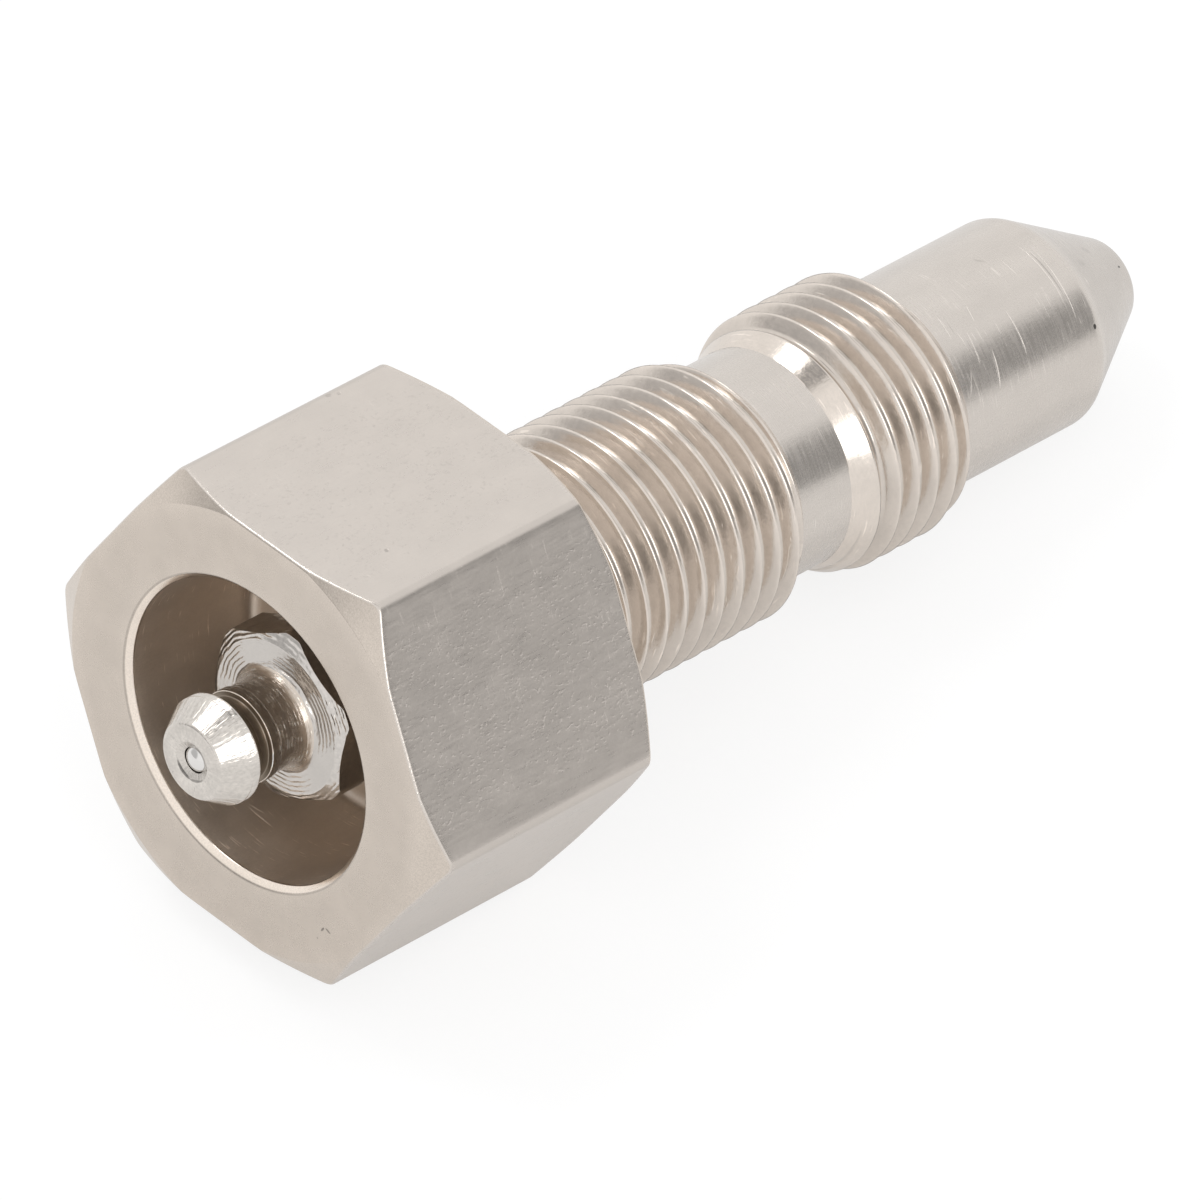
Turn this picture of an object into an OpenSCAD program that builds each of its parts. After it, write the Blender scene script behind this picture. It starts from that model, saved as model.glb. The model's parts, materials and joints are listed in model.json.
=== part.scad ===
// Grease valve for a track adjuster, with the grease nipple screwed into its head.
// The valve lies as it comes to rest: on the rear edge of one head flat and on the shoulder of its nose.

/* [Head] */
// Width of the hexagon across its flats
head_af = 27; // [25:0.5:32]
// Length of the hexagon along the valve
head_l = 17.5; // [16.5:0.5:24]
// Diameter of the round face that the corner chamfers leave
head_face_d = 27.4; // [26:0.2:28.4]
// Angle of the corner chamfers to the end faces
head_chamfer_angle = 30; // [15:1:40]
// Radius on the six long edges of the hexagon
head_edge_r = 0.5; // [0.1:0.1:1.5]

/* [Recess] */
// Diameter of the round recess in the head
recess_d = 18.4; // [17:0.1:20]
// Depth of the recess from the head face
recess_depth = 9.6; // [8.5:0.1:11]
// Bevel round the mouth of the recess
recess_mouth_bevel = 0.4; // [0.1:0.1:1]
// Bevel in the corner between the recess wall and its floor
recess_corner_bevel = 0.7; // [0.1:0.1:1.2]

/* [Shank] */
// Outer diameter of both threads
thread_d = 16; // [15:0.5:20]
// Diameter of the undercut behind the head and of the relief groove
groove_d = 13.4; // [12.4:0.2:14]
// Length of the undercut behind the head
undercut_l = 1.8; // [0.8:0.2:3]
// Length of the first thread
thread_1_l = 16.7; // [10:0.1:24]
// Length of the relief groove, with the bevel at the end of the first thread
groove_l = 5.2; // [4:0.2:9]
// Half angle of the cone from the relief groove up to the second thread
groove_cone_angle = 30; // [15:1:45]
// Length of the second thread
thread_2_l = 6; // [4.6:0.2:12]
// Angle of the bevels that end the threads
thread_bevel_angle = 45; // [30:1:60]

/* [Nose] */
// Diameter of the plain nose
nose_d = 13; // [11.5:0.1:14]
// Length of the plain nose, up to where its cone would start with a sharp edge
nose_l = 12.5; // [8:0.1:18]
// Radius of the shoulder between nose and cone
nose_shoulder_r = 1.2; // [0.4:0.1:2.5]
// Half angle of the sealing cone
cone_angle = 30; // [25:1:45]
// Diameter of the cone where its rounded end starts
cone_end_d = 5.6; // [5.2:0.1:7]
// Radius of the rounded end
cone_end_r = 1.2; // [0.4:0.1:1.2]

/* [Grease passage] */
// Diameter of the long passage
passage_d = 4; // [2.6:0.1:4.6]
// Diameter of the outlet in the tip
outlet_d = 2.4; // [1.6:0.1:2.5]
// Length of the outlet, back from the end of the tip
outlet_l = 5; // [3:0.5:7]
// Point angle of the drills
drill_point_angle = 118; // [90:1:140]

/* [Nipple outside] */
// How far the nipple stands proud of the head face
nipple_proud = 4; // [2.5:0.1:6]
// Largest diameter of the nipple's head, which the coupler grips behind
nipple_head_d = 6.5; // [6.2:0.1:7]
// Diameter of the flat front of the nipple
nipple_front_d = 4.8; // [3.6:0.1:5.2]
// Length of the tapered front of the nipple's head
nipple_taper_l = 1.5; // [0.8:0.1:2]
// Length of the nipple's head at its largest diameter
nipple_land_l = 0.7; // [0.5:0.1:1]
// Bevel round the flat front
nipple_front_bevel = 0.25; // [0.1:0.05:0.4]
// Diameter of the groove behind the nipple's head
nipple_groove_d = 4.9; // [4.4:0.1:5.4]
// Length of that groove, with its sloping side
nipple_groove_l = 1.35; // [0.9:0.05:2]
// Diameter of the small collar behind the groove
nipple_collar_d = 5.6; // [5.2:0.1:6]
// Length of the small collar
nipple_collar_l = 0.7; // [0.3:0.1:1]
// Diameter of the thin end of the flared neck
nipple_neck_d = 5.2; // [4.8:0.1:5.6]
// Diameter of the neck where it meets the hexagon
nipple_neck_foot_d = 6.6; // [6:0.1:7.4]
// Length of the flared neck
nipple_neck_l = 2.25; // [1.6:0.05:3.4]
// Width of the nipple's hexagon across its flats
nipple_af = 10; // [9.6:0.1:11]
// Thickness of the nipple's hexagon
nipple_hex_l = 2.8; // [2:0.1:3.4]
// Diameter of the round face that the bevel leaves on the nipple's hexagon
nipple_hex_face_d = 9.4; // [8.8:0.1:9.5]
// Diameter to which the corners of the nipple's hexagon are turned
nipple_hex_corner_d = 11; // [10.6:0.1:11.2]
// Angle by which the nipple's hexagon is turned from that of the head
nipple_turn = 31; // [0:1:59]

/* [Nipple thread] */
// Diameter of the taper thread at its thin end
taper_end_d = 9.5; // [8.8:0.05:9.6]
// Length of the taper thread
taper_l = 7.6; // [6.6:0.1:9]
// Growth in diameter for each unit of length of the taper thread
taper_rate = 0.0625; // [0.03:0.0025:0.07]
// Radial gap between the taper thread and its tapped hole
taper_gap = 0.02; // [0.01:0.01:0.05]
// Depth of the tapped hole below the floor of the recess
tapped_depth = 6; // [5:0.5:10]
// Bevel at each end of the taper thread
taper_bevel = 0.5; // [0.2:0.1:0.6]
// Diameter of the relief between the nipple's hexagon and its thread
taper_relief_d = 8.6; // [8.2:0.1:8.8]
// Length of that relief
taper_relief_l = 0.8; // [0.4:0.1:1.4]

/* [Nipple inside] */
// Diameter of the check ball
ball_d = 2.3; // [2.1:0.1:2.5]
// Diameter of the hole in the lip that the ball seals
lip_hole_d = 1.6; // [1.3:0.1:1.8]
// Diameter of the countersink in the front of the nipple
lip_mouth_d = 2.4; // [2:0.1:2.8]
// Depth of the countersink
lip_mouth_l = 0.2; // [0.1:0.05:0.6]
// Length of the hole in the lip
lip_land_l = 0.1; // [0.05:0.05:0.4]
// Half angle of the seat cone behind the lip
seat_angle = 45; // [35:1:55]
// Gap between the ball and its seat, and between the ball and its spring
ball_gap = 0.03; // [0.01:0.01:0.08]
// Diameter of the bore that holds the ball and its spring
spring_bore_d = 2.9; // [2.8:0.1:3.1]
// Diameter of the hole left by the staked lip that holds the spring
staked_hole_d = 1.4; // [1:0.1:1.8]
// Thickness of the staked lip
staked_l = 0.6; // [0.4:0.1:1]

/* [Nipple spring] */
// Diameter of the spring's wire
wire_d = 0.3; // [0.25:0.05:0.35]
// Diameter of the spring at the middle of its wire
coil_d = 1.8; // [1.6:0.1:2]
// Number of open turns
open_turns = 8; // [5:1:9]
// Number of closed turns at each end
closed_turns = 1; // [1:1:2]

/* [Hidden] */
$fn = 96;

// Smallest overlap used so that joined shapes share more than a face
eps = 0.01;
// How far the cone that turns off the head's corners reaches past them
cutter_reach = 1;
// Depth to which turned shapes are rooted in the nipple's hexagon
root_l = 0.6;
// Radii of the shank, the nose and the recess
thread_r = thread_d / 2;
groove_r = groove_d / 2;
nose_r = nose_d / 2;
recess_r = recess_d / 2;
head_face_r = head_face_d / 2;
head_corner_r = head_af / 2 / cos(30);

// Places along the valve, from the head face toward the tip
thread_bevel_l = (thread_r - groove_r) / tan(thread_bevel_angle);
thread_1_start = head_l + undercut_l;
thread_1_end = thread_1_start + thread_1_l;
groove_start = thread_1_end + thread_bevel_l;
groove_end = thread_1_end + groove_l;
thread_2_start = groove_end + (thread_r - groove_r) / tan(groove_cone_angle);
thread_2_end = thread_2_start + thread_2_l;
nose_start = thread_2_end + (thread_r - nose_r) / tan(thread_bevel_angle);
cone_start = thread_2_end + nose_l;
cone_end = cone_start + (nose_r - cone_end_d / 2) / tan(cone_angle);
tip = cone_end + cone_end_r * (1 - sin(cone_angle));

// How far the head's flats reach toward the shank between its corner chamfers
flat_end = head_l - max(0, head_af / 2 - head_face_r) * tan(head_chamfer_angle);

// Places along the nipple
nipple_front = -nipple_proud;
land_start = nipple_front + nipple_taper_l;
land_end = land_start + nipple_land_l;
collar_start = land_end + nipple_groove_l;
collar_end = collar_start + nipple_collar_l;
nipple_hex_start = collar_end + nipple_neck_l;
nipple_hex_end = nipple_hex_start + nipple_hex_l;
taper_end = nipple_hex_end + taper_l;
tapped_end = recess_depth + tapped_depth;

// The ball touches its seat cone beside the lip, less the gap
ball_r = ball_d / 2;
lip_end = nipple_front + lip_mouth_l + lip_land_l;
seat_end = lip_end + (spring_bore_d - lip_hole_d) / 2 / tan(seat_angle);
seat_apex = lip_end - lip_hole_d / 2 / tan(seat_angle);
ball_center = seat_apex + (ball_r + ball_gap) / sin(seat_angle);

// The spring's first turn lies on the back of the ball, and its last one on the staked lip
wire_r = wire_d / 2;
coil_r = coil_d / 2;
spring_start = ball_center + sqrt(pow(ball_r + wire_r + ball_gap, 2) - pow(coil_r, 2));
spring_end = taper_end - staked_l - wire_r - ball_gap;
spring_l = spring_end - spring_start;
closed_pitch = wire_d * 1.1;
spring_turns = open_turns + 2 * closed_turns;
open_pitch = (spring_l - 2 * closed_turns * closed_pitch) / open_turns;
wire_sides = 6;
rings_per_turn = 16;

// The floor touches the rear edge of the lowest flat and the nose shoulder's arc
shoulder_tangent = nose_shoulder_r * tan(cone_angle / 2);
shoulder_center = [cone_start - shoulder_tangent, nose_r - nose_shoulder_r];
rest_run = shoulder_center[0] - flat_end;
rest_drop = head_af / 2 - shoulder_center[1];
rest_tilt = atan2(rest_drop, rest_run) - asin(nose_shoulder_r / norm([rest_run, rest_drop]));
rest_height = head_af / 2 * cos(rest_tilt) + flat_end * sin(rest_tilt);
// Front and back of the valve as it lies, which put the origin at the middle of its length
front_x = nipple_front * cos(rest_tilt) - (nipple_front_d / 2 - nipple_front_bevel) * sin(rest_tilt);
end_arc_center = [tip - cone_end_r, cone_end_d / 2 - cone_end_r * cos(cone_angle)];
back_x = end_arc_center[0] * cos(rest_tilt) + end_arc_center[1] * sin(rest_tilt) + cone_end_r;
middle_x = (front_x + back_x) / 2;

// Points on an arc in the plane of a turned profile, as [radius, place along the valve]
function arc(center, r, from, to, steps = 8) =
    [for (i = [0 : steps]) let (a = from + (to - from) * i / steps)
        [center[1] + r * cos(a), center[0] + r * sin(a)]];

// Radius of the nipple's taper thread at a place along the valve
function taper_r(place) = (taper_end_d + taper_rate * (taper_end - place)) / 2;

// Place along the spring after a number of turns, with closed turns at both ends
function spring_place(turn) =
    turn < closed_turns ? turn * closed_pitch :
    turn > closed_turns + open_turns
        ? spring_l - (spring_turns - turn) * closed_pitch
        : closed_turns * closed_pitch + (turn - closed_turns) * open_pitch;

// Turns a shape that stands on the Z axis, head face down, into the place where it lies
module lay_down() {
    translate([-middle_x, 0, rest_height]) rotate([0, 90 + rest_tilt, 0]) children();
}

// Outline of a hexagon with rounded corners and its flats square to the X axis
module rounded_hexagon(af, edge_r) {
    corner = (af / 2 - edge_r) / cos(30);
    for (k = [0 : 5]) rotate(60 * k + 30) translate([corner, 0]) circle(edge_r);
    polygon([for (k = [0 : 5], side = [-30, 30]) let (a = 60 * k + 30)
        [corner * cos(a) + edge_r * cos(a + side), corner * sin(a) + edge_r * sin(a + side)]]);
}

// Hexagonal head with both rows of corners turned off
module head() {
    over = head_corner_r + cutter_reach;
    rise = (over - head_face_r) * tan(head_chamfer_angle);
    intersection() {
        linear_extrude(head_l) rounded_hexagon(head_af, head_edge_r);
        rotate_extrude() polygon([
            [0, 0], [head_face_r, 0], [over, rise],
            [over, head_l - rise], [head_face_r, head_l], [0, head_l]]);
    }
}

// Turned outline of everything behind the head, as one revolved profile
module shank() {
    rotate_extrude() polygon(concat(
        [[0, recess_depth + eps], [groove_r, recess_depth + eps]],
        [[groove_r, thread_1_start - thread_bevel_l], [thread_r, thread_1_start]],
        [[thread_r, thread_1_end], [groove_r, groove_start]],
        [[groove_r, groove_end], [thread_r, thread_2_start]],
        [[thread_r, thread_2_end], [nose_r, nose_start]],
        arc(shoulder_center, nose_shoulder_r, 0, cone_angle),
        arc(end_arc_center, cone_end_r, cone_angle, 90),
        [[0, tip]]));
}

// Everything that is bored out of the body: recess, tapped hole, passage and outlet
module bores() {
    mouth_r = recess_r + recess_mouth_bevel;
    taper_mouth_r = taper_r(recess_depth) + taper_gap;
    taper_root_r = taper_r(tapped_end) + taper_gap;
    passage_r = passage_d / 2;
    outlet_r = outlet_d / 2;
    drill_rise = 1 / tan(drill_point_angle / 2);
    passage_end = tip - outlet_l;
    rotate_extrude() polygon([
        [0, -eps], [mouth_r + eps, -eps], [recess_r, recess_mouth_bevel],
        [recess_r, recess_depth - recess_corner_bevel], [recess_r - recess_corner_bevel, recess_depth],
        [taper_mouth_r, recess_depth], [taper_root_r, tapped_end],
        [passage_r, tapped_end + (taper_root_r - passage_r) * drill_rise],
        [passage_r, passage_end], [outlet_r, passage_end + (passage_r - outlet_r) * drill_rise],
        [outlet_r, tip + eps], [0, tip + eps]]);
}

// The body is turned and milled from one hexagonal bar
module valve_body() {
    color("#c9c3bc") lay_down() difference() {
        union() {
            head();
            shank();
        }
        bores();
    }
}

// Turned outline of the nipple in front of its hexagon and of its taper thread behind it
module nipple_turning() {
    front_r = nipple_front_d / 2;
    head_r = nipple_head_d / 2;
    nipple_groove_r = nipple_groove_d / 2;
    collar_r = nipple_collar_d / 2;
    neck_r = nipple_neck_d / 2;
    foot_r = nipple_neck_foot_d / 2;
    relief_r = taper_relief_d / 2;
    relief_end = nipple_hex_end + taper_relief_l;
    slope_l = head_r - nipple_groove_r;
    foot_bevel = (foot_r - neck_r) / 2;
    rotate_extrude() polygon([
        [0, nipple_front], [front_r - nipple_front_bevel, nipple_front],
        [front_r, nipple_front + nipple_front_bevel],
        [head_r, land_start], [head_r, land_end],
        [nipple_groove_r, land_end + slope_l], [nipple_groove_r, collar_start],
        [collar_r, collar_start], [collar_r, collar_end],
        [neck_r, collar_end], [neck_r + foot_bevel, nipple_hex_start - foot_bevel],
        [foot_r + root_l, nipple_hex_start + root_l], [relief_r, nipple_hex_start + root_l],
        [relief_r, relief_end], [taper_r(relief_end + taper_bevel), relief_end + taper_bevel],
        [taper_r(taper_end - taper_bevel), taper_end - taper_bevel],
        [taper_r(taper_end) - taper_bevel, taper_end], [0, taper_end]]);
}

// Hexagon of the nipple, turned to a round face in front and with its corners turned down
module nipple_hexagon() {
    face_r = nipple_hex_face_d / 2;
    corner_r = nipple_hex_corner_d / 2;
    rise = (corner_r - face_r) * tan(head_chamfer_angle);
    intersection() {
        translate([0, 0, nipple_hex_start]) rotate(nipple_turn)
            linear_extrude(nipple_hex_l) rounded_hexagon(nipple_af, head_edge_r / 2);
        rotate_extrude() polygon([
            [0, nipple_hex_start], [face_r, nipple_hex_start], [corner_r, nipple_hex_start + rise],
            [corner_r, nipple_hex_end], [0, nipple_hex_end]]);
    }
}

// Stepped bore of the nipple: countersunk lip, seat cone, spring bore and staked hole
module nipple_bore() {
    mouth_r = lip_mouth_d / 2;
    hole_r = lip_hole_d / 2;
    bore_r = spring_bore_d / 2;
    staked_r = staked_hole_d / 2;
    rotate_extrude() polygon([
        [0, nipple_front - eps], [mouth_r, nipple_front - eps], [mouth_r, nipple_front],
        [hole_r, nipple_front + lip_mouth_l], [hole_r, lip_end],
        [bore_r, seat_end], [bore_r, taper_end - staked_l],
        [staked_r, taper_end - staked_l], [staked_r, taper_end + eps], [0, taper_end + eps]]);
}

// Grease nipple, one turned piece with a hexagon and a taper thread
module nipple_body() {
    color("#d8d4cf") lay_down() difference() {
        union() {
            nipple_turning();
            nipple_hexagon();
        }
        nipple_bore();
    }
}

// Check ball, which seals the lip of the nipple
module nipple_ball() {
    color("#e6e6e8") lay_down() translate([0, 0, ball_center]) sphere(ball_r);
}

// Spring that holds the ball on its seat, with closed ends
module nipple_spring() {
    rings = spring_turns * rings_per_turn;
    points = [for (i = [0 : rings], j = [0 : wire_sides - 1])
        let (turn = i / rings_per_turn, a = 360 * turn, b = 360 * j / wire_sides,
             r = coil_r + wire_r * cos(b))
        [r * cos(a), r * sin(a), spring_start + spring_place(turn) + wire_r * sin(b)]];
    sides = [for (i = [0 : rings - 1], j = [0 : wire_sides - 1])
        let (a = i * wire_sides + j, b = i * wire_sides + (j + 1) % wire_sides)
        [a, a + wire_sides, b + wire_sides, b]];
    start_cap = [[for (j = [0 : wire_sides - 1]) j]];
    end_cap = [[for (j = [0 : wire_sides - 1]) rings * wire_sides + wire_sides - 1 - j]];
    color("#8f8f92") lay_down() polyhedron(points, concat(sides, start_cap, end_cap));
}

valve_body();
nipple_body();
nipple_ball();
nipple_spring();
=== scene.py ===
"""Grease valve for a track adjuster, lying on a pale studio floor.

The valve is one turned and milled steel piece with two threads; a grease nipple with a check ball and
a spring is screwed into the recess of its hexagonal head. Lengths in the classes are in millimetres,
along the valve from its head face toward its tip; meshes are in metres, in the frame of the CAD model.
"""
import json
import logging
import math
from dataclasses import dataclass, field
from enum import Enum, IntEnum
from functools import partialmethod

import bmesh
import bpy
import numpy as np
from bpy.types import Material, Mesh, Node, NodeSocket, NodeTree, Object
from mathutils import Matrix, Vector


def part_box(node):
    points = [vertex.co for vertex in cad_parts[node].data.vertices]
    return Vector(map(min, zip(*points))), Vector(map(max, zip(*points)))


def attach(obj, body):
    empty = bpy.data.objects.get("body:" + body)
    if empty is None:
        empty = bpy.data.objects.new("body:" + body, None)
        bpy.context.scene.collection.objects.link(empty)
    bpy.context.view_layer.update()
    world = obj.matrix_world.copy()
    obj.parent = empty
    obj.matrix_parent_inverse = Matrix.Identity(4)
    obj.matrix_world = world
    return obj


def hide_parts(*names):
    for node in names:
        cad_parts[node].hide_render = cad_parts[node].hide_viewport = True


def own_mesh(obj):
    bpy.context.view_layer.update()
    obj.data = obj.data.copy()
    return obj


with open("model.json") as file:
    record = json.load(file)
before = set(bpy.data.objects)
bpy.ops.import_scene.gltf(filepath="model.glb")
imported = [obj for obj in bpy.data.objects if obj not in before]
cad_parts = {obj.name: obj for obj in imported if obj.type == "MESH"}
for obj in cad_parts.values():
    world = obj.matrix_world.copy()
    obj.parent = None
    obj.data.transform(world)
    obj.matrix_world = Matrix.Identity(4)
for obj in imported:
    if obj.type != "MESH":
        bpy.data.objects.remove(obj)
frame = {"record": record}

LOG = logging.getLogger("grease_valve")
MM = 0.001
MERGE_MM = 0.001
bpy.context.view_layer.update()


class Zone(IntEnum):
    """Kinds of surface on the valve body, in the order of its material slots."""

    FLATS = 0
    FACE = 1
    SHANK = 2
    THREADS = 3
    RECESS = 4
    BORES = 5


class NippleZone(IntEnum):
    """Kinds of surface on the nipple, in the order of its material slots."""

    HEAD = 0
    GROOVE = 1
    NECK = 2
    HEXAGON = 3
    INSIDE = 4


class Slot(Enum):
    """Material slots that the record names."""

    BODY = "nickel_plated_steel"
    NIPPLE = "bright_plated_steel"
    BALL = "polished_ball"
    SPRING = "spring_wire"


# Placing


@dataclass(frozen=True)
class Lay:
    """Where the valve's own frame lies in the model: x along the valve, z square to the top flat."""

    origin: Vector
    tilt: float

    @classmethod
    def from_record(cls, head_af: float, head_l: float) -> "Lay":
        """Works out the place of the head face from the record's mount on the top flat.

        Args:
            head_af: width of the head across its flats.
            head_l: length of the head.

        Returns:
            The place and tilt of the valve.
        """
        flat = mount("wrench_flat")
        along = Vector(mount("first_thread")["axis"]).normalized()
        square = Vector(flat["axis"]).normalized()
        start = Vector(flat["pos_m"]) - along * head_l / 2 * MM - square * head_af / 2 * MM
        return cls(start, math.atan2(-along.z, along.x))

    def matrix(self) -> Matrix:
        """Gives the matrix from the valve's own millimetres to the model's metres."""
        turn = Matrix.Rotation(self.tilt, 4, "Y")
        return Matrix.Translation(self.origin) @ turn @ Matrix.Scale(MM, 4)

    def axis(self) -> Vector:
        """Gives the direction of the valve's axis in the model."""
        return (Matrix.Rotation(self.tilt, 3, "Y") @ Vector((1, 0, 0))).normalized()

    def along(self, point: Vector) -> float:
        """Gives how far behind the head face a point of the model lies, in millimetres."""
        return (self.matrix().inverted() @ Vector(point)).x

    def span(self, name: str) -> tuple[float, float]:
        """Gives where a round mount of the record starts and ends along the valve."""
        middle, half = self.along(mount(name)["pos_m"]), mount(name)["dims"]["length_mm"] / 2
        return middle - half, middle + half


def mount(name: str) -> dict:
    """Finds one of the record's mounts by its name."""
    return next(m for m in frame["record"]["mounts"] if m["name"] == name)


def add_object(name: str, data: bpy.types.ID) -> Object:
    """Adds an object to the scene.

    Args:
        name: name of the object.
        data: its mesh, lamp or camera.

    Returns:
        The object, at the origin.
    """
    made = bpy.data.objects.new(name, data)
    bpy.context.scene.collection.objects.link(made)
    return made


# Node trees


@dataclass(frozen=True)
class Value:
    """One number field in a node tree, with the usual arithmetic as Math nodes."""

    tree: NodeTree
    socket: NodeSocket

    def math(self, operation: str, *others: "Value | float") -> "Value":
        """Adds one Math node.

        Args:
            operation: Blender's name of the operation.
            others: second and third operand.

        Returns:
            The node's result.
        """
        node = add_node(self.tree, "ShaderNodeMath", operation=operation)
        for socket, value in zip(node.inputs, (self, *others)):
            feed(self.tree, socket, value)
        return Value(self.tree, node.outputs[0])

    __add__ = __radd__ = partialmethod(math, "ADD")
    __sub__ = partialmethod(math, "SUBTRACT")
    __mul__ = __rmul__ = partialmethod(math, "MULTIPLY")
    __truediv__ = partialmethod(math, "DIVIDE")
    sin = partialmethod(math, "SINE")
    cos = partialmethod(math, "COSINE")
    abs = partialmethod(math, "ABSOLUTE")
    low = partialmethod(math, "MINIMUM")
    high = partialmethod(math, "MAXIMUM")

    def clamp(self, low: "Value | float", high: "Value | float") -> "Value":
        """Keeps the field between two limits."""
        return self.high(low).low(high)

    def ramp(self, start: float, end: float) -> "Value":
        """Runs smoothly from 0 to 1 between two numbers, of which the first may be the larger.

        Args:
            start: number at which the ramp is 0.
            end: number at which it is 1.

        Returns:
            The ramp's result.
        """
        limits = (end, start, 1.0, 0.0) if start > end else (start, end, 0.0, 1.0)
        inputs = dict(zip(("From Min", "From Max", "To Min", "To Max"), limits))
        node = add_node(self.tree, "ShaderNodeMapRange", {"Value": self, **inputs},
                        interpolation_type="SMOOTHSTEP")
        return Value(self.tree, node.outputs["Result"])


def feed(tree: NodeTree, socket: NodeSocket, value: object) -> None:
    """Sets a socket to a plain value, or links a field or another socket to it.

    Args:
        tree: node tree.
        socket: input to feed.
        value: number, tuple, material, socket, Value or node, which gives its first output.
    """
    if isinstance(value, Value):
        value = value.socket
    elif isinstance(value, Node):
        value = value.outputs[0]
    if isinstance(value, NodeSocket):
        tree.links.new(value, socket)
    else:
        socket.default_value = value


def add_node(tree: NodeTree, kind: str, inputs: dict | None = None, **settings: object) -> Node:
    """Adds a node and fills it in.

    Args:
        tree: node tree.
        kind: Blender's name of the node.
        inputs: plain values, sockets or fields, by the input's name or number.
        settings: properties of the node.

    Returns:
        The new node.
    """
    node = tree.nodes.new(kind)
    for name, value in settings.items():
        setattr(node, name, value)
    for name, value in (inputs or {}).items():
        feed(tree, node.inputs[name], value)
    return node


def empty_tree(owner: bpy.types.ID) -> NodeTree:
    """Gives a material or a world an empty node tree.

    Args:
        owner: material or world.

    Returns:
        Its node tree.
    """
    owner.use_nodes = True
    owner.node_tree.nodes.clear()
    return owner.node_tree


# Meshes


@dataclass
class RoundHexagon:
    """Hexagon with rounded corners, as a radius at each angle round the valve."""

    af: float
    edge_r: float
    corner_at: float

    def radius(self, angles: np.ndarray) -> np.ndarray:
        """Gives the outline's radius.

        Args:
            angles: angles in radians.

        Returns:
            One radius for each angle.
        """
        sixth = math.pi / 3
        off = (angles - self.corner_at + sixth / 2) % sixth - sixth / 2
        to_flat = sixth / 2 - np.abs(off)
        flat = self.af / 2 / np.cos(to_flat)
        reach = (self.af / 2 - self.edge_r) / math.cos(sixth / 2)
        inside = np.maximum(self.edge_r ** 2 - (reach * np.sin(off)) ** 2, 0)
        arc = reach * np.cos(off) + np.sqrt(inside)
        tangent = math.atan((self.af / 2 - self.edge_r) * math.tan(sixth / 2) / (self.af / 2))
        return np.where(to_flat < tangent, flat, arc)


@dataclass
class Columns:
    """Angles of the columns of a turned skin, closer together at the corners of its hexagon."""

    count: int
    corner_at: float
    gather: float = 0.9

    def angles(self) -> np.ndarray:
        """Gives the angle of each column, in radians."""
        share = np.arange(self.count) / self.count * 6
        return self.corner_at + math.pi / 3 * (share - self.gather * np.sin(math.tau * share) / math.tau)


@dataclass
class Skin:
    """Closed skin of rings round the valve's axis, built ring by ring along its profile.

    A ring's place along the valve and its radius are each one number, or one for each column. Its zone
    is the material slot of the faces that follow it, and its wear runs from 0 to 1 on a worn edge.
    """

    columns: Columns
    rings: list[tuple[np.ndarray, np.ndarray, int, float]] = field(default_factory=list)
    gaps: set[int] = field(default_factory=set)

    def __post_init__(self) -> None:
        """Works out the angles of the columns."""
        self.angles = self.columns.angles()

    def ring(self, along: object, radius: object, zone: int, wear: float = 0.0) -> None:
        """Adds one ring."""
        ones = np.ones(len(self.angles))
        self.rings.append((np.asarray(along) * ones, np.asarray(radius) * ones, zone, wear))

    def line(self, start: tuple, end: tuple, shares: tuple, zone: int) -> None:
        """Adds rings at shares of the way from one place and radius to another."""
        for share in shares:
            self.ring(*(a + (b - a) * share for a, b in zip(start, end)), zone)

    def arc(self, center: tuple, radius: float, start: float, end: float, steps: int,
            zone: int, wear: float = 0.0) -> None:
        """Adds rings along an arc from one direction to another, in degrees: 0 outward, 90 to the tip."""
        for turn in np.radians(np.linspace(start, end, steps + 1)):
            self.ring(center[0] + radius * math.sin(turn), center[1] + radius * math.cos(turn), zone, wear)

    def leave_room(self, sleeve: "ThreadSleeve", zone: int, next_zone: int) -> None:
        """Adds the rings that meet the ends of a thread's sleeve, with no faces between them.

        Args:
            sleeve: the thread's sleeve.
            zone: zone of the thread.
            next_zone: zone of what follows it.
        """
        self.ring(sleeve.start, sleeve.start_r, zone)
        self.gaps.add(len(self.rings) - 1)
        self.ring(sleeve.end, sleeve.end_r, next_zone)

    def mesh(self, name: str) -> Mesh:
        """Makes the mesh in the valve's own millimetres, its profile closed from last ring to first.

        Args:
            name: name of the mesh.

        Returns:
            The mesh.
        """
        rows, count = len(self.rings), len(self.angles)
        points = np.stack([np.stack([s, r * np.sin(self.angles), r * np.cos(self.angles)], axis=1)
                           for s, r, _, _ in self.rings]).reshape(-1, 3)
        faces, slots = [], []
        for row in (row for row in range(rows) if row not in self.gaps):
            here, after = row * count, (row + 1) % rows * count
            for column in range(count):
                beside = (column + 1) % count
                faces.append((here + column, after + column, after + beside, here + beside))
                slots.append(self.rings[row][2])
        mesh = bpy.data.meshes.new(name)
        mesh.from_pydata(points.tolist(), [], faces)
        mesh.polygons.foreach_set("material_index", slots)
        wear = mesh.attributes.new("wear", "FLOAT", "POINT")
        wear.data.foreach_set("value", np.repeat([w for _, _, _, w in self.rings], count))
        # root stays 0 here; the thread sleeves fill it with their depth, which the thread finish darkens as
        # painted shade
        mesh.attributes.new("root", "FLOAT", "POINT")
        return mesh


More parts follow.
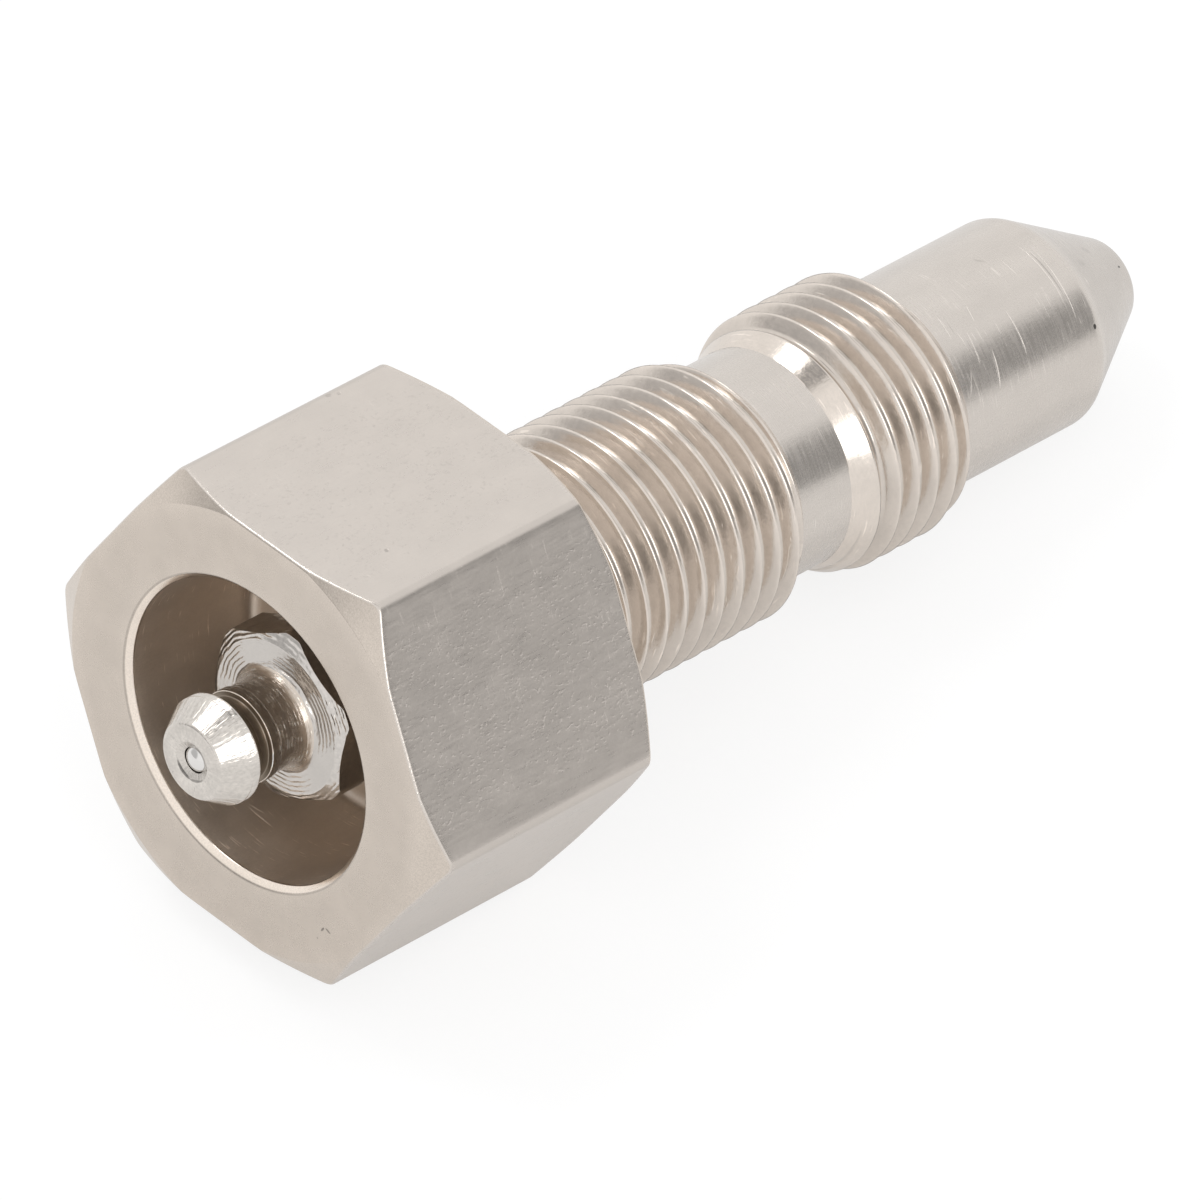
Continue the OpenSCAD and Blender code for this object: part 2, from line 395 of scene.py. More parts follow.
def finish_piece(name: str, lay: Lay, parts: list[Mesh], materials: list[Material]) -> Object:
    """Joins meshes in the valve's own millimetres into one closed piece with smooth shading.

    Args:
        name: name of the piece.
        lay: place of the valve.
        parts: meshes to join.
        materials: materials by slot.

    Returns:
        The new object, at the origin, with its place in its mesh.
    """
    bm = bmesh.new()
    for part in parts:
        bm.from_mesh(part)
        bpy.data.meshes.remove(part)
    bmesh.ops.remove_doubles(bm, verts=bm.verts, dist=MERGE_MM)
    bmesh.ops.dissolve_degenerate(bm, dist=MERGE_MM / 2, edges=bm.edges)
    bmesh.ops.transform(bm, matrix=lay.matrix(), verts=bm.verts)
    bmesh.ops.recalc_face_normals(bm, faces=bm.faces)
    mesh = bpy.data.meshes.new(name)
    bm.to_mesh(mesh)
    bm.free()
    for material in materials:
        mesh.materials.append(material)
    mesh.shade_smooth()
    weigh_normals(mesh)
    return add_object(name, mesh)


def weigh_normals(mesh: Mesh) -> None:
    """Gives each point the mean normal of its faces, weighed by their area, so that flats stay flat.

    Args:
        mesh: mesh with smooth shading.
    """
    normals = np.zeros((len(mesh.vertices), 3))
    face_normals = np.array([f.normal for f in mesh.polygons])
    areas = np.array([f.area for f in mesh.polygons])
    totals = np.array([f.loop_total for f in mesh.polygons])
    corners = np.empty(len(mesh.loops), dtype=int)
    mesh.loops.foreach_get("vertex_index", corners)
    np.add.at(normals, corners, np.repeat(face_normals * areas[:, None], totals, axis=0))
    lengths = np.linalg.norm(normals, axis=1)
    normals[lengths > 0] /= lengths[lengths > 0][:, None]
    mesh.normals_split_custom_set_from_vertices(normals.tolist())


# Geometry Nodes


class NodeShape:
    """A shape made by Geometry Nodes from named sizes, and turned into a plain mesh."""

    def __init__(self, name: str, sizes: dict[str, float], whole: dict[str, int]) -> None:
        """Starts the tree with an input for each size.

        Args:
            name: name of the tree.
            sizes: lengths and other numbers by name.
            whole: counts by name.
        """
        self.tree = bpy.data.node_groups.new(name, "GeometryNodeTree")
        self.numbers = {**sizes, **whole}
        face = self.tree.interface
        face.new_socket("Geometry", in_out="INPUT", socket_type="NodeSocketGeometry")
        for key in self.numbers:
            kind = "NodeSocketInt" if key in whole else "NodeSocketFloat"
            face.new_socket(key, in_out="INPUT", socket_type=kind)
        face.new_socket("Geometry", in_out="OUTPUT", socket_type="NodeSocketGeometry")
        self.entry = self.tree.nodes.new("NodeGroupInput")

    def size(self, key: str) -> Value:
        """Gives the field of one named input."""
        return Value(self.tree, self.entry.outputs[key])

    def place(self, geometry: Node, x: Value, y: Value, z: Value) -> Node:
        """Moves each point to where three fields say: along the valve, across it and square to its flat."""
        spot = add_node(self.tree, "ShaderNodeCombineXYZ", {"X": x, "Y": y, "Z": z})
        return add_node(self.tree, "GeometryNodeSetPosition", {"Geometry": geometry, "Position": spot})

    def mesh(self, geometry: Node, material: Material) -> Mesh:
        """Ends the tree, evaluates it and keeps the result as a plain mesh.

        Args:
            geometry: the node that gives the tree's last geometry.
            material: material of the shape.

        Returns:
            The mesh, in the valve's own millimetres.
        """
        real = add_node(self.tree, "GeometryNodeRealizeInstances", {"Geometry": geometry})
        dressed = add_node(self.tree, "GeometryNodeSetMaterial", {"Geometry": real, "Material": material})
        add_node(self.tree, "NodeGroupOutput", {0: dressed})
        holder = add_object(self.tree.name, bpy.data.meshes.new(self.tree.name))
        modifier = holder.modifiers.new(self.tree.name, "NODES")
        modifier.node_group = self.tree
        for item in self.tree.interface.items_tree:
            if item.item_type == "SOCKET" and item.in_out == "INPUT" and item.name in self.numbers:
                modifier[item.identifier] = self.numbers[item.name]
        graph = bpy.context.evaluated_depsgraph_get()
        graph.update()
        made = bpy.data.meshes.new_from_object(holder.evaluated_get(graph))
        holder.modifiers.remove(modifier)
        bpy.data.objects.remove(holder)
        return made


@dataclass
class ThreadSleeve:
    """Skin of one right-handed thread, whose rows follow the helix and end in plain circles."""

    start: float
    end: float
    start_r: float
    end_r: float
    crest_r: float
    columns: Columns
    start_slope: float = 1.0
    pitch: float = 1.5
    depth: float = 0.92
    taper: float = 0.0
    rows_per_turn: int = 16
    flank: float = math.radians(60)
    crest_share: float = 0.05
    crest_round: float = 0.012
    root_round: float = 0.16
    lag: float = 0.01
    merge: float = 0.0008

    def mesh(self, name: str, materials: list[Material], slot: int) -> Mesh:
        """Builds the sleeve by Geometry Nodes.

        Args:
            name: name of the node tree.
            materials: materials of the piece.
            slot: slot of the thread's own material.

        Returns:
            The sleeve's mesh.
        """
        turns = math.ceil((self.end - self.start) / self.pitch) + 2
        sizes = {"Start": self.start, "End": self.end, "Start Radius": self.start_r,
                 "End Radius": self.end_r, "Crest Radius": self.crest_r, "Pitch": self.pitch,
                 "Depth": self.depth, "Taper": self.taper, "Corner Angle": self.columns.corner_at,
                 "Gather": self.columns.gather, "Turns": float(turns)}
        counts = {"Rows": turns * self.rows_per_turn + 1, "Columns": self.columns.count + 1}
        shape = NodeShape(name, sizes, counts)
        tree = shape.tree
        start, end, start_r, end_r, crest_r, pitch, depth, taper, corner, gather, turns_in = (
            shape.size(key) for key in sizes)
        grid = add_node(tree, "GeometryNodeMeshGrid", {
            "Size X": 1.0, "Size Y": 1.0,
            "Vertices X": shape.size("Rows"), "Vertices Y": shape.size("Columns")})
        where = add_node(tree, "GeometryNodeInputPosition")
        split = add_node(tree, "ShaderNodeSeparateXYZ", {"Vector": where})
        row, turn = (Value(tree, split.outputs[key]) + 0.5 for key in "XY")
        sixths = turn * 6.0
        angle = corner + (sixths - gather * (sixths * math.tau).sin() / math.tau) * (math.pi / 3)
        phase = row * turns_in
        free = start + (phase - (angle - corner) / math.tau - self.lag) * pitch
        along = free.clamp(start, end)
        from_crest = (phase.math("FRACT") - 0.5).abs() - self.crest_share / 2
        flank = from_crest.math("SMOOTH_MAX", 0.0, self.crest_round) * pitch * math.tan(self.flank)
        drop = flank.math("SMOOTH_MIN", depth, self.root_round)
        crest = crest_r - taper * (along - start)
        plain = (start_r + (along - start) * self.start_slope).low(end_r + (end - along))
        radius = (crest - drop).low(plain)
        # depth from crest to root, 0 to 1, stored as root for the painted shade in the thread roots
        sunk = (drop / depth) * (crest - drop).math("LESS_THAN", plain)
        stored = add_node(tree, "GeometryNodeStoreNamedAttribute",
                          {"Geometry": grid, "Name": "root", "Value": sunk},
                          data_type="FLOAT", domain="POINT")
        moved = shape.place(stored, along, radius * angle.sin(), radius * angle.cos())
        merged = add_node(tree, "GeometryNodeMergeByDistance", {"Geometry": moved, "Distance": self.merge})
        made = shape.mesh(merged, materials[slot])
        made.polygons.foreach_set("material_index", [slot] * len(made.polygons))
        return made


@dataclass
class SpringCoil:
    """Coil spring with closed turns at both ends, swept by Geometry Nodes."""

    start: float
    end: float
    coil_r: float = 0.9
    wire_r: float = 0.15
    open_turns: float = 8
    closed_turns: float = 1
    closed_lead: float = 2.2
    rings_per_turn: int = 28
    wire_sides: int = 12

    def mesh(self, name: str, material: Material) -> Mesh:
        """Builds the coil.

        Args:
            name: name of the node tree.
            material: material of the wire.

        Returns:
            The coil's mesh.
        """
        total = self.open_turns + 2 * self.closed_turns
        closed = self.wire_r * self.closed_lead
        rest = self.end - self.start - 2 * self.closed_turns * closed
        sizes = {"Start": self.start, "Coil Radius": self.coil_r, "Wire Radius": self.wire_r,
                 "Open Turns": self.open_turns, "Closed Turns": self.closed_turns,
                 "Closed Pitch": closed, "Open Pitch": rest / self.open_turns}
        counts = {"Points": int(total * self.rings_per_turn) + 1, "Wire Sides": self.wire_sides}
        shape = NodeShape(name, sizes, counts)
        tree = shape.tree
        start, coil_r, wire_r, opened, ends, closed_pitch, open_pitch = (shape.size(key) for key in sizes)
        line = add_node(tree, "GeometryNodeMeshLine", {"Count": shape.size("Points")})
        curve = add_node(tree, "GeometryNodeMeshToCurve", {"Mesh": line})
        turn = Value(tree, tree.nodes.new("GeometryNodeInputIndex").outputs[0]) / float(self.rings_per_turn)
        along = (start + turn.clamp(0.0, ends) * closed_pitch
                 + (turn - ends).clamp(0.0, opened) * open_pitch
                 + (turn - ends - opened).clamp(0.0, ends) * closed_pitch)
        angle = turn * math.tau
        path = shape.place(curve, along, coil_r * angle.sin(), coil_r * angle.cos() * -1.0)
        section = add_node(tree, "GeometryNodeCurvePrimitiveCircle",
                           {"Radius": wire_r, "Resolution": shape.size("Wire Sides")})
        swept = add_node(tree, "GeometryNodeCurveToMesh",
                         {"Curve": path, "Profile Curve": section, "Fill Caps": True})
        return shape.mesh(swept, material)


# Finishes


class Grain(Enum):
    """Direction of the fine marks that the tool left in a surface."""

    DRAWN = "along the bar"
    FLUTED = "down a cone"
    TURNED = "in rings round the axis"


@dataclass(frozen=True)
class Mark:
    """One small dent, spot or scratch: an ellipse at a place along the valve or a radius, and an angle."""

    along: float
    around: float
    length: float
    width: float
    turn: float = 0.0
    depth: float = 0.0
    shade: float = 0.0


@dataclass(frozen=True)
class Shade:
    """Smooth change of tone between two radii, for bands of painted shade and painted highlight, or of
    height between two places along the valve.
    """

    start: float
    end: float
    amount: float


@dataclass(frozen=True)
class MetalFinish:
    """Plated steel, with fine tool marks, small bumps, uneven tone, scratches and worn edges, and painted
    shade and painted highlight where given.
    """

    name: str
    tint: tuple[float, float, float]
    roughness: float
    grain: Grain = Grain.TURNED
    grain_scale: float = 22.0
    grain_height: float = 0.001
    peel_scale: float = 2.6
    peel_height: float = 0.004
    peel_stretch: float = 0.45
    pit_height: float = 0.0
    pit_scale: float = 5.0
    pit_limit_r: float = 14.9
    # painted shade: darkens the tone round the small raised grains
    pit_painted_shade: float = -0.1
    pit_grains: tuple[float, float] = (0.47, 0.78)
    pit_groups: tuple[float, float] = (0.26, 0.56)
    face_fall: float = 0.0
    crown: Shade | None = None
    ring_pitch: float = 0.28
    ring_height: float = 0.0
    ring_wander: float = 9.0
    ring_groups: tuple[float, float] = (0.38, 0.6)
    streak_scale: float = 7.0
    streak_stretch: float = 0.08
    streak_tone: float = 0.03
    streak_rough: float = 0.1
    streak_height: float = 0.0
    scratch_tone: float = 0.0
    scratch_scale: float = 9.0
    scratch_level: float = 0.66
    scratch_height: float = 0.004
    scratch_groups: tuple[float, float] = (0.48, 0.6)
    speck_share: float = 0.25
    tone: float = 0.06
    tone_scale: float = 0.5
    uneven_rough: float = 0.1
    wear_gain: float = 0.12
    wear_polish: float = 0.06
    wear_specks: tuple[float, float] = (0.3, 0.7)
    rough_limits: tuple[float, float] = (0.04, 0.8)
    # painted shade: darkens the thread roots and flanks by the stored root depth
    root_painted_shade: float = 0.0
    # shades: bands of painted shade and painted highlight by radius, up to shades_until along the valve
    shades: tuple[Shade, ...] = ()
    shades_until: float = 100.0
    marks: tuple[Mark, ...] = ()
    marks_by_radius: bool = False
    reach: float = 8.0

    def material(self, lay: Lay) -> Material:
        """Builds the node material.

        Args:
            lay: place of the valve, which centres the patterns on its axis.

        Returns:
            The material.
        """
        made = bpy.data.materials.new(self.name)
        tree = empty_tree(made)
        spot = Spot(tree, lay)
        stretched = spot.stretch(self.peel_stretch, 1.0)
        peel = spot.noise(stretched, self.peel_scale, 2.0)
        broad = spot.noise(stretched, self.tone_scale, 3.0, 0.6)
        speck = spot.noise(stretched, self.peel_scale * 4, 2.0, 0.6)
        lines = self.streak_field(spot)
        scratches = self.scratch_field(spot, broad)
        dents, shades = self.mark_fields(spot)
        relief = (self.grain_field(spot) * self.grain_height + peel * self.peel_height
                  + speck * (self.peel_height * self.speck_share) + lines * self.streak_height
                  + scratches * self.scratch_height + dents)
        if self.pit_height:
            pits = self.pit_field(spot, stretched)
            relief = relief + pits * self.pit_height
            # the grains also darken the tone: painted shade round them
            shades = shades + pits * self.pit_painted_shade
        if self.face_fall:
            relief = relief - spot.radius * self.face_fall
        if self.crown:
            relief = relief + spot.along.ramp(self.crown.start, self.crown.end) * self.crown.amount
        if self.ring_height:
            relief = relief + self.ring_field(spot, peel) * broad.ramp(*self.ring_groups) * self.ring_height
        bump = add_node(tree, "ShaderNodeBump", {"Strength": 1.0, "Distance": MM, "Height": relief})
        worn, root = spot.stored("wear"), spot.stored("root")
        level = ((broad - 0.5) * (2 * self.tone) + (speck - 0.5) * self.tone + 1.0
                 + (lines - 0.5) * (2 * self.streak_tone) + scratches * self.scratch_tone
                 + worn * speck.ramp(*self.wear_specks) * self.wear_gain + root * self.root_painted_shade + shades)
        # bands of painted shade and painted highlight by radius
        near = spot.along.ramp(self.shades_until + 0.5, self.shades_until)
        for shade in self.shades:
            level = level + spot.radius.ramp(shade.start, shade.end) * near * shade.amount
        color = add_node(tree, "ShaderNodeVectorMath", {0: self.tint, "Scale": level}, operation="SCALE")
        rough = (self.roughness + (speck - 0.5) * self.uneven_rough + (broad - 0.5) * self.uneven_rough
                 + (lines - 0.5) * (2 * self.streak_rough) - worn * self.wear_polish)
        surface = add_node(tree, "ShaderNodeBsdfPrincipled", {
            "Base Color": color, "Metallic": 1.0, "Roughness": rough.clamp(*self.rough_limits),
            "Normal": bump})
        add_node(tree, "ShaderNodeOutputMaterial", {"Surface": surface})
        return made

    def grain_field(self, spot: "Spot") -> Value:
        """Gives the finest tool marks, as a field from 0 to 1."""
        lines = (spot.vector(spot.along, spot.radius, spot.across * 0.015)
                 if self.grain is Grain.TURNED else spot.stretch(0.04, 1.0))
        return spot.noise(lines, self.grain_scale, 3.0, 0.7)

    def streak_field(self, spot: "Spot") -> Value:
        """Gives broken streaks that follow the tool marks.

        Args:
            spot: place on the surface.

        Returns:
            A field from 0 to 1.
        """
        if self.grain is Grain.DRAWN:
            lines = spot.stretch(self.streak_stretch, 1.0)
        elif self.grain is Grain.FLUTED:
            lines = spot.vector(spot.angle * self.reach, spot.along * self.streak_stretch, 0.0)
        else:
            lines = spot.stretch(1.0, self.streak_stretch)
        return spot.noise(lines, self.streak_scale, 3.0, 0.6)

    def scratch_field(self, spot: "Spot", broad: Value) -> Value:
        """Gives thin short scratches where a broad pattern gathers them, 1 on a scratch and 0 beside it."""
        lines = spot.noise(spot.stretch(1.0, 0.05), self.scratch_scale, 1.0, 0.3)
        return lines.ramp(self.scratch_level, self.scratch_level + 0.06) * broad.ramp(*self.scratch_groups)

    def pit_field(self, spot: "Spot", stretched: Node) -> Value:
        """Gives small raised grains in groups, which leave the strips beside the long edges smooth.

        Args:
            spot: place on the surface.
            stretched: coordinates drawn out along the valve.

        Returns:
            A field from 0 to 1.
        """
        grains = spot.noise(stretched, self.pit_scale, 1.5).ramp(*self.pit_grains)
        groups = spot.noise(stretched, self.pit_scale / 8, 2.0, 0.6).ramp(*self.pit_groups)
        clear = spot.radius.ramp(self.pit_limit_r, self.pit_limit_r - 0.4)
        return grains * grains * groups * clear

    def ring_field(self, spot: "Spot", peel: Value) -> Value:
        """Gives the rings of a pointed tool on a face, from -1 to 1, shifted a little by a pattern."""
        return (spot.radius * (math.tau / self.ring_pitch) + peel * self.ring_wander).sin()

    def mark_fields(self, spot: "Spot") -> tuple[Value | float, Value | float]:
        """Gives the relief and the tone of the dents, spots and scratches.

        Args:
            spot: place on the surface.

        Returns:
            The relief in millimetres and the change of tone.
        """
        relief: Value | float = 0.0
        tone: Value | float = 0.0
        run = spot.radius if self.marks_by_radius else spot.along
        for mark in self.marks:
            x = run - mark.along
            y = (spot.angle - math.radians(mark.around)) * self.reach
            turn = math.radians(mark.turn)
            u = (x * math.cos(turn) + y * math.sin(turn)) / (mark.length / 2)
            v = (y * math.cos(turn) - x * math.sin(turn)) / (mark.width / 2)
            inside = (u * u + v * v).ramp(1.0, 0.25)
            relief = inside * -mark.depth + relief
            tone = inside * mark.shade + tone
        return relief, tone


class Spot:
    """Place of a shaded point in the valve's own millimetres, with the patterns that read it."""

    def __init__(self, tree: NodeTree, lay: Lay) -> None:
        """Turns Object coordinates into the valve's own, and works out the radius and angle round it.

        Args:
            tree: node tree.
            lay: place of the valve.
        """
        back = lay.matrix().inverted()
        centred = add_node(tree, "ShaderNodeMapping", {
            "Vector": tree.nodes.new("ShaderNodeTexCoord").outputs["Object"],
            "Location": back.to_translation(), "Rotation": back.to_euler(), "Scale": back.to_scale()},
            vector_type="POINT")
        split = add_node(tree, "ShaderNodeSeparateXYZ", {"Vector": centred})
        self.tree = tree
        self.along, self.across, self.height = (Value(tree, split.outputs[key]) for key in "XYZ")
        self.radius = (self.across * self.across + self.height * self.height).math("SQRT")
        self.angle = self.across.math("ARCTAN2", self.height)

    def stored(self, name: str) -> Value:
        """Reads a number that the mesh holds at its points."""
        node = add_node(self.tree, "ShaderNodeAttribute", attribute_name=name)
        return Value(self.tree, node.outputs["Fac"])

    def vector(self, x: Value, y: Value, z: Value | float) -> Node:
        """Joins three fields into a vector."""
        return add_node(self.tree, "ShaderNodeCombineXYZ", {"X": x, "Y": y, "Z": z})

    def stretch(self, along: float, around: float) -> Node:
        """Gives coordinates that draw a pattern out, along the valve or round it, by a small factor."""
        return self.vector(self.along * along, self.across * around, self.height * around)

    def noise(self, vector: Node, scale: float, detail: float, roughness: float = 0.5) -> Value:
        """Adds noise from 0 to 1, by its steps for each millimetre and its finer layers."""
        inputs = {"Vector": vector, "Scale": scale, "Detail": detail, "Roughness": roughness}
        return Value(self.tree, add_node(self.tree, "ShaderNodeTexNoise", inputs).outputs["Fac"])


NICKEL = (0.66, 0.612, 0.565)
FLAT_MARKS = (
    Mark(11.9, 29.0, 0.5, 0.3, depth=0.02, shade=-0.14),
    Mark(12.5, 28.2, 0.3, 0.25, depth=0.02, shade=-0.1),
    Mark(4.81, -18.3, 0.3, 0.3, depth=0.02, shade=-0.25),
)
FACE_MARKS = (
    Mark(11.9, -138.0, 0.5, 0.15, 30.0, 0.04, -0.5),
    Mark(11.75, -140.0, 0.15, 0.45, 20.0, 0.04, -0.5),
    Mark(12.2, -143.5, 0.14, 0.14, 0.0, 0.02, -0.3),
)
SHANK_MARKS = (
    Mark(54.1, -23.4, 0.09, 1.3, -13.0, 0.008, 0.3),
    Mark(56.3, -43.0, 0.1, 3.3, 0.0, 0.012, 0.32),
    Mark(53.9, -55.2, 0.11, 2.7, -8.0, 0.012, 0.36),
    Mark(53.75, -55.2, 0.09, 2.4, -8.0, 0.008, -0.35),
    Mark(51.95, -24.0, 0.08, 1.8, -5.0, 0.008, 0.28),
    Mark(51.75, -55.3, 0.08, 1.8, -24.0, 0.008, 0.24),
    Mark(52.97, -39.8, 0.09, 2.4, -7.0, 0.008, 0.24),
    Mark(60.3, -20.0, 0.1, 4.6, 0.0, 0.012, 0.3),
    Mark(60.72, -30.0, 0.1, 5.5, -3.0, 0.012, 0.3),
    Mark(60.5, -24.0, 0.09, 5.0, 0.0, 0.008, -0.25),
    Mark(67.72, -35.8, 0.3, 0.35, 0.0, 0.015, -0.7),
    Mark(61.72, -59.0, 0.3, 0.4, 0.0, 0.01, -0.8),
    Mark(52.05, -21.0, 0.06, 0.9, 4.0, 0.004, 0.2),
    Mark(52.3, -26.0, 0.06, 1.1, -3.0, 0.004, -0.18),
    Mark(52.5, -32.0, 0.06, 0.9, 5.0, 0.004, 0.22),
    Mark(52.75, -38.0, 0.06, 1.0, -4.0, 0.004, -0.18),
    Mark(52.95, -44.0, 0.06, 0.9, 3.0, 0.004, 0.22),
    Mark(57.5, 0.8, 0.22, 0.9, 35.0, 0.01, -0.12),
    Mark(65.4, -14.0, 0.7, 0.9, 20.0, 0.0, -0.1),
    Mark(63.7, -25.0, 0.9, 0.7, -10.0, 0.0, -0.07),
)
NIPPLE_MARKS = (
    Mark(1.2, 150.0, 0.17, 4.2, 0.0, 0.02, -0.7),
    Mark(1.2, -152.0, 0.14, 3.6, 0.0, 0.02, -0.5),
    Mark(2.0, 140.0, 0.3, 0.12, 10.0, 0.01, -0.25),
    Mark(1.75, -165.0, 0.4, 0.1, -20.0, 0.01, -0.25),
)
RECESS_MARKS = (
    Mark(4.1, 169.5, 0.1, 2.3, -5.2, 0.01, 0.5),
    Mark(4.35, 166.0, 0.08, 1.2, -20.0, 0.01, 0.4),
)


# The valve


@dataclass
class ValveBody:
    """The turned and milled body: head with recess, two threads, groove, nose and sealing cone."""

    lay: Lay
    head_af: float = 27.0
    head_l: float = 17.5
    head_face_r: float = 13.7
    chamfer_angle: float = 30.0
    head_edge_r: float = 0.8
    break_r: float = 0.2
    recess_r: float = 9.2
    recess_depth: float = 9.6
    recess_mouth_bevel: float = 0.4
    recess_corner_bevel: float = 0.7
    groove_r: float = 6.7
    groove_cone_angle: float = 30.0
    nose_shoulder_r: float = 1.2
    cone_angle: float = 30.0
    mouth_soft: float = 0.05
    floor_rings: tuple[float, ...] = (6.0, 7.2)
    back_fillet_r: float = 0.25
    face_rings: tuple[float, ...] = (10.4, 11.6, 12.6)
    back_rings: tuple[float, ...] = (12.2, 10.0, 8.0)
    end_rim_r: float = 1.36
    outlet_edge_r: float = 0.15
    cone_end_r: float = 2.8
    end_round_r: float = 1.2
    passage_r: float = 2.0
    outlet_r: float = 1.2
    outlet_l: float = 5.0
    drill_half_angle: float = 59.0
    tapped_end: float = 15.6
    tapped_mouth_r: float = 4.873
    tapped_root_r: float = 4.686
    tapped_bevel: float = 0.12
    columns: Columns = field(default_factory=lambda: Columns(192, math.radians(30)))
    finishes: tuple[MetalFinish, ...] = (
        MetalFinish("head_flats_satin_nickel", (0.658, 0.604, 0.554), 0.32, Grain.DRAWN,
                    peel_height=0.005, peel_stretch=0.8, pit_height=0.011, wear_gain=0.05,
                    # radius shade: painted dark reflection along the rounded long edges
                    shades=(Shade(15.38, 15.45, -0.08),), marks=FLAT_MARKS, reach=13.5),
        MetalFinish("head_face_turned_nickel", (0.618, 0.55, 0.485), 0.28, tone=0.09, peel_stretch=1.0,
                    marks=FACE_MARKS, marks_by_radius=True, reach=12.0, shades_until=4.0,
                    # radius shades: a painted highlight on the mouth bevel and a painted dark line at its
                    # outer edge
                    shades=(Shade(9.2, 9.26, 0.34), Shade(9.5, 9.56, -0.58), Shade(9.62, 9.68, 0.24))),
        MetalFinish("shank_turned_nickel", NICKEL, 0.27, peel_height=0.005,
                    streak_rough=0.16, streak_tone=0.02, scratch_tone=0.16, tone=0.09,
                    # radius shade: painted shade that darkens the sealing cone
                    marks=SHANK_MARKS, reach=6.5, shades=(Shade(6.4, 5.9, -0.09),)),
        # threads: root_painted_shade paints shade into the roots and flanks
        MetalFinish("thread_nickel", (0.745, 0.675, 0.61), 0.19, peel_height=0.006,
                    streak_stretch=0.3, streak_tone=0.08, scratch_tone=0.2, tone=0.1, root_painted_shade=-0.13),
        MetalFinish("recess_turned_steel", (0.665, 0.58, 0.50), 0.46, grain_height=0.003,
                    peel_height=0.006, streak_tone=0.05, scratch_tone=0.5, tone=0.14, marks=RECESS_MARKS,
                    reach=9.2),
        MetalFinish("bore_drilled_steel", (0.42, 0.38, 0.34), 0.36, grain_height=0.004),
    )

    def __post_init__(self) -> None:
        """Reads the places of the threads and the nose from the record."""
        self.thread_r, self.nose_r = (mount(name)["dims"]["r_mm"] for name in ("first_thread", "nose"))
        self.thread_1, self.thread_2, self.nose = (
            self.lay.span(name) for name in ("first_thread", "second_thread", "nose"))
        self.skin = Skin(self.columns)

    def build(self) -> Object:
        """Builds the body and hangs it on the CAD model's body.

        Returns:
            The finished piece.
        """
        materials = [finish.material(self.lay) for finish in self.finishes]
        sleeves = self.sleeves()
        self.add_head()
        for sleeve in sleeves.values():
            self.skin.leave_room(sleeve, Zone.THREADS, Zone.SHANK)
        self.add_nose(sleeves["second_thread"].end)
        self.add_bores()
        parts = [self.skin.mesh("valve_skin"),
                 *(sleeve.mesh(name, materials, Zone.THREADS) for name, sleeve in sleeves.items())]
        piece = finish_piece("valve_body_turned", self.lay, parts, materials)
        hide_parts("valve_body")
        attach(piece, "valve")
        return piece

    def sleeves(self) -> dict[str, ThreadSleeve]:
        """Gives the skins of the threads before and behind the groove.

        Returns:
            The two sleeves by name.
        """
        bevel = self.thread_r - self.groove_r
        slope = math.tan(math.radians(self.groove_cone_angle))
        first = ThreadSleeve(self.thread_1[0] - bevel, self.thread_1[1] + bevel,
                             self.groove_r, self.groove_r, self.thread_r, self.columns)
        nose_start = self.thread_2[1] + self.thread_r - self.nose_r
        second = ThreadSleeve(self.thread_2[0] - bevel / slope, nose_start,
                              self.groove_r, self.nose_r, self.thread_r, self.columns, slope)
        return {"first_thread": first, "second_thread": second}

    def add_head(self) -> None:
        """Adds the head face, the hexagon with its chamfers and the head's back."""
        skin, face, flats = self.skin, Zone.FACE, Zone.FLATS
        outline = RoundHexagon(self.head_af, self.head_edge_r, self.columns.corner_at).radius(skin.angles)
        soft, slope = self.break_r, math.radians(self.chamfer_angle)
        self.add_mouth()
        for radius in self.face_rings:
            skin.ring(0, radius, face)
        # Centres of the broken edges, on the outline moved inward by their radius
        low_r = np.minimum(self.head_face_r - soft * math.tan(slope / 2), outline - soft)
        shelf = (soft + math.sin(slope) * (outline - soft - self.head_face_r)) / math.cos(slope)
        high_s = np.maximum(shelf, soft)
        skin.arc((soft, low_r), soft, -90, -90 + self.chamfer_angle, 2, face, 1.0)
        skin.arc((high_s, outline - soft), soft, -90 + self.chamfer_angle, 0, 4, flats, 1.0)
        skin.line((high_s, outline), (self.head_l - high_s, outline), (0.02, 0.34, 0.66, 0.98), flats)
        skin.arc((self.head_l - high_s, outline - soft), soft, 0, 90 - self.chamfer_angle, 4, face, 1.0)
        skin.arc((self.head_l - soft, low_r), soft, 90 - self.chamfer_angle, 90, 2, face, 1.0)
        for radius in self.back_rings:
            skin.ring(self.head_l, radius, face)
        fillet = self.back_fillet_r
        skin.arc((self.head_l + fillet, self.groove_r + fillet), fillet, -90, -180, 3, Zone.SHANK)

    def add_mouth(self) -> None:
        """Adds the bevel round the mouth of the recess, from the wall out to the head face."""
        bevel, soft = self.recess_mouth_bevel, self.mouth_soft
        for along, out, wear in ((bevel + soft, 0, 0.5), (bevel - soft, soft, 1.0),
                                 (soft, bevel - soft, 1.0), (0, bevel + soft, 0.5)):
            self.skin.ring(along, self.recess_r + out, Zone.FACE, wear)

